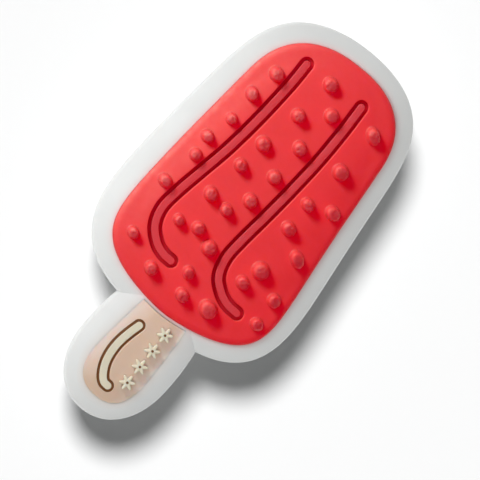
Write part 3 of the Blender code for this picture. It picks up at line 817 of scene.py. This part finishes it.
def bar(name, places, half, low, high_of, sink, material):
    """Bar along a path between a floor and a surface, a little below that surface"""
    line = smooth_path(places, 0.09)
    run = np.gradient(line, axis=0)
    run /= np.linalg.norm(run, axis=1)[:, None]
    reach = np.sin(np.linspace(0, math.pi / 2, 10)[1:]) * half
    before = line[0] - run[0] * reach[::-1, None]
    after = line[-1] + run[-1] * reach[:, None]
    line = np.vstack((before, line, after))
    piece = run_tree(name, poly_curve(name, line, high_of(line) - sink, False), bar_tree,
                     {"Width": 2 * half * MM, "Low": low * MM, "Edge Round": BAR_EDGE * MM,
                      "Material": material})
    face_out(piece)
    soften(piece, 50)
    return piece


def place_in_groove(side, places, lining_half, lining_low, strip_half, high_of, colours, slots):
    """Lining and strip of one groove, in place of their solids"""
    lining_high = lining_low + LINING_THICKNESS

    def lining_top(line):
        return np.full(len(line), lining_high)

    lining = bar(side + "_lining_layer", places, lining_half, lining_low, lining_top, 0.0, colours[0])
    strip = bar(side + "_strip_bar", places, strip_half, lining_high + GAP, high_of, STRIP_SINK, colours[1])
    nodes = (side + "_groove_lining", side + "_strip")
    for piece, node, slot in zip((lining, strip), nodes, slots):
        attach(piece, "root")
        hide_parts(node)


dark_red_pvc = pvc("dark_red_pvc", DARK_RED, 0.6, 0.1, (1.0, 0.1, 0.1), 0.003)
dusty_red_pvc = pvc("dusty_red_pvc", DUSTY_RED, 0.62, 0.2, (1.0, 0.1, 0.1), 0.006, 0.7)
for side, places in (("left", LEFT_PATH), ("right", RIGHT_PATH)):
    place_in_groove(side, places, GROOVE_HALF + LAP, LINING_LOW, STRIP_HALF, face_dome,
                    (dark_red_pvc, dusty_red_pvc), ("dark_red_pvc", "dusty_red_pvc"))

# Stick
# A pillow of tan PVC, shaped like the end of a wooden stick, that runs down to its edge and pales
# there.  One more groove bends with its left edge, with a brown lining and a cream strip.
STICK_SHOULDER = 9.72
STICK_CROWN = 0.2
STICK_RIM_REACH = 2.1
STICK_RIM_DROP = 0.35
STICK_GRID = 0.26
LIP_CREVICE = 0.08
MARK_HALF = 0.67
MARK_STRIP_HALF = 0.37
MARK_FLOOR = 9.2
MARK_PATH = ((-0.78, -12.78), (-1.1, -14.0), (-1.33, -15.3), (-1.33, -16.6), (-1.08, -17.8),
             (-0.6, -18.75), (-0.05, -19.32), (0.52, -19.42))
TAN = (0.635, 0.475, 0.37)
TAN_EDGE = (0.81, 0.7, 0.66)
BROWN = (0.2, 0.08, 0.028)
CREAM = (0.69, 0.64, 0.515)


def stick_dome(points):
    """Height of the tan pillow above places on the stick"""
    local = (points - np.array(STICK_PLACE)) @ np.array(Matrix.Rotation(STICK_LEAN, 2))
    reach = (local[:, 0] / WOOD_SHAPE["side"]) ** 2 + (local[:, 1] / WOOD_SHAPE["top"]) ** 2
    return STICK_SHOULDER + STICK_CROWN * np.clip(1 - reach, 0, None)


def stick_rim(away):
    """How far the tan runs down towards its edge, in a soft S with no crease at either end"""
    share = np.clip(away / STICK_RIM_REACH, 0, 1)
    return STICK_RIM_DROP * (1 - share ** 2 * (3 - 2 * share))


tan_pvc = pvc("tan_pvc", TAN, 0.5, 0.3, (1.0, 0.6, 0.4), 0.004)
brown_pvc = pvc("brown_pvc", BROWN, 0.6, 0.1, (1.0, 0.5, 0.3), 0.003)
cream_pvc = pvc("cream_pvc", CREAM, 0.5, 0.3, (1.0, 0.8, 0.6), 0.004)
mark_line = smooth_path(MARK_PATH, 0.14)
stick_skin = layer_mesh("tan_stick", wood_outline, [mark_line], MARK_HALF, MARK_FLOOR, LIP_ROUND,
                        stick_dome, stick_rim, STICK_GRID, None, POCKET_FLOOR + GAP)
stick_skin.materials.append(tan_pvc)
stick = put_in_scene("tan_stick", stick_skin)
lip_cutter = put_in_scene("lip_cutter", plate("lip_cutter", soft_outline(FACE_SHAPE, 300, LIP + LIP_CREVICE),
                                              BACK_LOW, CUT_TOP))
stick = cut(stick, "DIFFERENCE", lip_cutter)
spots = places_of(stick.data)
above_tip = np.clip((spots[:, 1] + 20.3) / 2.5, 0, 1)
mark(stick.data, "tan_fade", np.exp(-from_edge(spots[:, :2], wood_outline) / 0.75) * above_tip)
blend_by(tan_pvc, "tan_fade", (0.0, 1.0), 0.75, TAN_EDGE)
soften(stick, 60)
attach(stick, "root")
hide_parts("stick")
place_in_groove("stick", MARK_PATH, MARK_HALF + LAP, MARK_FLOOR + GAP, MARK_STRIP_HALF, stick_dome,
                (brown_pvc, cream_pvc), ("brown_pvc", "cream_pvc"))

# Snow crystals
# Four small six-armed crystals of cream PVC stand in a row along the stick, each with a dot of the
# brown base colour in its middle.
CRYSTAL_ACROSS = 1.8
CRYSTAL_FIRST = -11.95
CRYSTAL_STEP = -2.0
CRYSTAL_COUNT = 4
CRYSTAL_RADIUS = 0.6
CRYSTAL_SWING = 0.22
CRYSTAL_LOW = 9.7
CRYSTAL_HIGH = 10.3
HEART_RADIUS = 0.17

crystal_tree, start = new_tree("crystals_on_points", (("Crystal Object", "NodeSocketObject"),
                                                      ("Material", "NodeSocketMaterial")))
crystal_info = add_node(crystal_tree, "GeometryNodeObjectInfo", {"Object": start.outputs["Crystal Object"]})
spread = add_node(crystal_tree, "GeometryNodeInstanceOnPoints",
                  {"Points": start.outputs["Geometry"], "Instance": crystal_info.outputs["Geometry"]})
end_tree(crystal_tree, spread.outputs[0], start)


def crystal_rows(top, edge):
    """Rows of an upright little form with a rounded upper edge"""
    rows = [(0.0, 1.0, CRYSTAL_LOW), (0.0, 0.0, CRYSTAL_LOW), (0.0, 0.0, top - edge)]
    for turn in (25, 50, 70, 90):
        lean = math.radians(turn)
        rows.append((edge * (1 - math.cos(lean)), 0.0, top - edge * (1 - math.sin(lean))))
    return rows + [(edge, 0.5, top + 0.03), (edge, 1.0, top + 0.04)]


def crystal_pieces(name, outline, rows, material):
    """One little form, repeated on every place of the row"""
    sample = moulded(name + "_sample", outline, rows, (0.0, 0.0), material)
    places = bpy.data.meshes.new(name + "_places")
    places.from_pydata([(CRYSTAL_ACROSS * MM, (CRYSTAL_FIRST + number * CRYSTAL_STEP) * MM, 0.0)
                        for number in range(CRYSTAL_COUNT)], [], [])
    pieces = run_tree(name, places, crystal_tree, {"Crystal Object": sample, "Material": material})
    bpy.data.objects.remove(sample)
    soften(pieces, 50)
    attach(pieces, "root")
    return pieces


round_about = np.arange(96) * math.tau / 96
arms = CRYSTAL_RADIUS + CRYSTAL_SWING * np.cos(6 * round_about)
star = np.stack((-np.sin(round_about) * arms, np.cos(round_about) * arms), axis=1)
crystals = crystal_pieces("snow_crystals", star, crystal_rows(CRYSTAL_HIGH, 0.1), cream_pvc)
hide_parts(*["snow_crystal_" + str(number + 1) for number in range(CRYSTAL_COUNT)])
dot = np.stack((np.cos(round_about), np.sin(round_about)), axis=1)
heart_rows = crystal_rows(CRYSTAL_HIGH + 0.03, 0.03)
hearts = crystal_pieces("crystal_hearts", dot * HEART_RADIUS, heart_rows, brown_pvc)

# Floor
# A plain pale matt surface on which the charm rests with its plug's head.  It is larger than any
# view of the charm takes in.
FLOOR_HALF = 1.5
floor_mesh = bpy.data.meshes.new("floor")
floor_corners = [(x * FLOOR_HALF, y * FLOOR_HALF, 0.0) for x, y in ((-1, -1), (1, -1), (1, 1), (-1, 1))]
floor_mesh.from_pydata(floor_corners, [], [(0, 1, 2, 3)])
floor = put_in_scene("floor", floor_mesh)
floor_paint = bpy.data.materials.new("floor_paint")
floor_paint.use_nodes = True
shader_of(floor_paint).inputs["Base Color"].default_value = (0.9, 0.9, 0.9, 1.0)
shader_of(floor_paint).inputs["Roughness"].default_value = 0.9
shader_of(floor_paint).inputs["Specular IOR Level"].default_value = 0.0
floor_mesh.materials.append(floor_paint)

# Camera
# Close to straight above, leaning a little over the charm's left side, with the stick towards
# the lower left of the picture, through a long lens.
VIEW_TILT = math.radians(6.6)
VIEW_ROLL = math.radians(51.13)
VIEW_MIDDLE = Vector((2.02, 0.128, 7.3)) * MM
VIEW_FIELD = 48.0 * MM
VIEW_DISTANCE = 0.5
SENSOR_WIDTH = 36.0
camera_data = bpy.data.cameras.new("camera")
camera = put_in_scene("camera", camera_data)
camera_data.sensor_width = SENSOR_WIDTH
camera_data.lens = SENSOR_WIDTH * VIEW_DISTANCE / VIEW_FIELD
camera_data.clip_start = 0.01
backwards = Vector((-math.sin(VIEW_TILT), 0.0, math.cos(VIEW_TILT)))
upwards = Vector((-math.cos(VIEW_ROLL), math.sin(VIEW_ROLL), 0.0))
sideways = upwards.cross(backwards).normalized()
upwards = backwards.cross(sideways)
turned = Matrix((sideways, upwards, backwards)).transposed().to_4x4()
camera.matrix_world = Matrix.Translation(VIEW_MIDDLE + backwards * VIEW_DISTANCE) @ turned
bpy.context.scene.camera = camera

# Light
# A small lamp low on the charm's left models the pegs, with a twin for gloss alone, and a large one
# overhead fills in.  The white backing has a lamp of its own close by and an even fill, and one
# broad lamp lights only the floor, so that the shadow falls a little way down the picture.
LAMP_AIM = Vector((0.0, 2.0, 9.0)) * MM
world = bpy.data.worlds.new("studio")
world.use_nodes = True
world.node_tree.nodes["Background"].inputs["Color"].default_value = (0.97, 1.0, 1.0, 1.0)
world.node_tree.nodes["Background"].inputs["Strength"].default_value = 0.14
world.cycles_visibility.glossy = False
bpy.context.scene.world = world
bpy.context.scene.view_settings.view_transform = "Standard"

face_group, back_group, floor_group = [bpy.data.collections.new(name + "_lit")
                                       for name in ("face", "back", "floor")]
for piece in bpy.context.scene.objects:
    if piece.type == "MESH":
        group = {floor: floor_group, backing: back_group, plug: back_group}.get(piece, face_group)
        group.objects.link(piece)


def aim(lamp, place, target):
    """Turn a lamp from its place to a target"""
    lamp.location = place
    lamp.rotation_euler = (Vector(target) - Vector(place)).to_track_quat("-Z", "Y").to_euler()


def area_lamp(name, power, size, turn, rise, distance, group, diffuse=True, glossy=True):
    """Square soft lamp that lights one group, at a turn round the charm and a rise above the floor"""
    data = bpy.data.lights.new(name, "AREA")
    data.energy = power
    data.size = size
    lamp = put_in_scene(name, data)
    turn, rise = math.radians(turn), math.radians(rise)
    away = Vector((math.cos(turn) * math.cos(rise), math.sin(turn) * math.cos(rise), math.sin(rise)))
    aim(lamp, LAMP_AIM + away * distance, LAMP_AIM)
    lamp.light_linking.receiver_collection = group
    lamp.visible_diffuse = diffuse
    lamp.visible_glossy = glossy


def sun_lamp(name, strength, spread, place, group):
    """Lamp that shines the same everywhere on one group, from a disc as wide as its spread"""
    data = bpy.data.lights.new(name, "SUN")
    data.energy = strength
    data.angle = math.radians(spread)
    lamp = put_in_scene(name, data)
    aim(lamp, Vector(place), Vector((0.0, 0.0, 0.0)))
    lamp.light_linking.receiver_collection = group
    lamp.visible_glossy = False


area_lamp("face_key", 0.24, 0.033, 158, 31, 0.20, face_group)
area_lamp("face_gloss", 0.19, 0.033, 172, 31, 0.20, face_group, diffuse=False)
area_lamp("face_fill", 0.725, 0.30, -90, 80, 0.30, face_group, glossy=False)
area_lamp("back_key", 0.038, 0.04, 183, 45, 0.088, back_group)
sun_lamp("back_fill", 1.57, 180.0, (0.0, 0.0, 1.0), back_group)
sun_lamp("floor_lamp", 3.36, 18.0, (-3.5, 2.76, 8.0), floor_group)
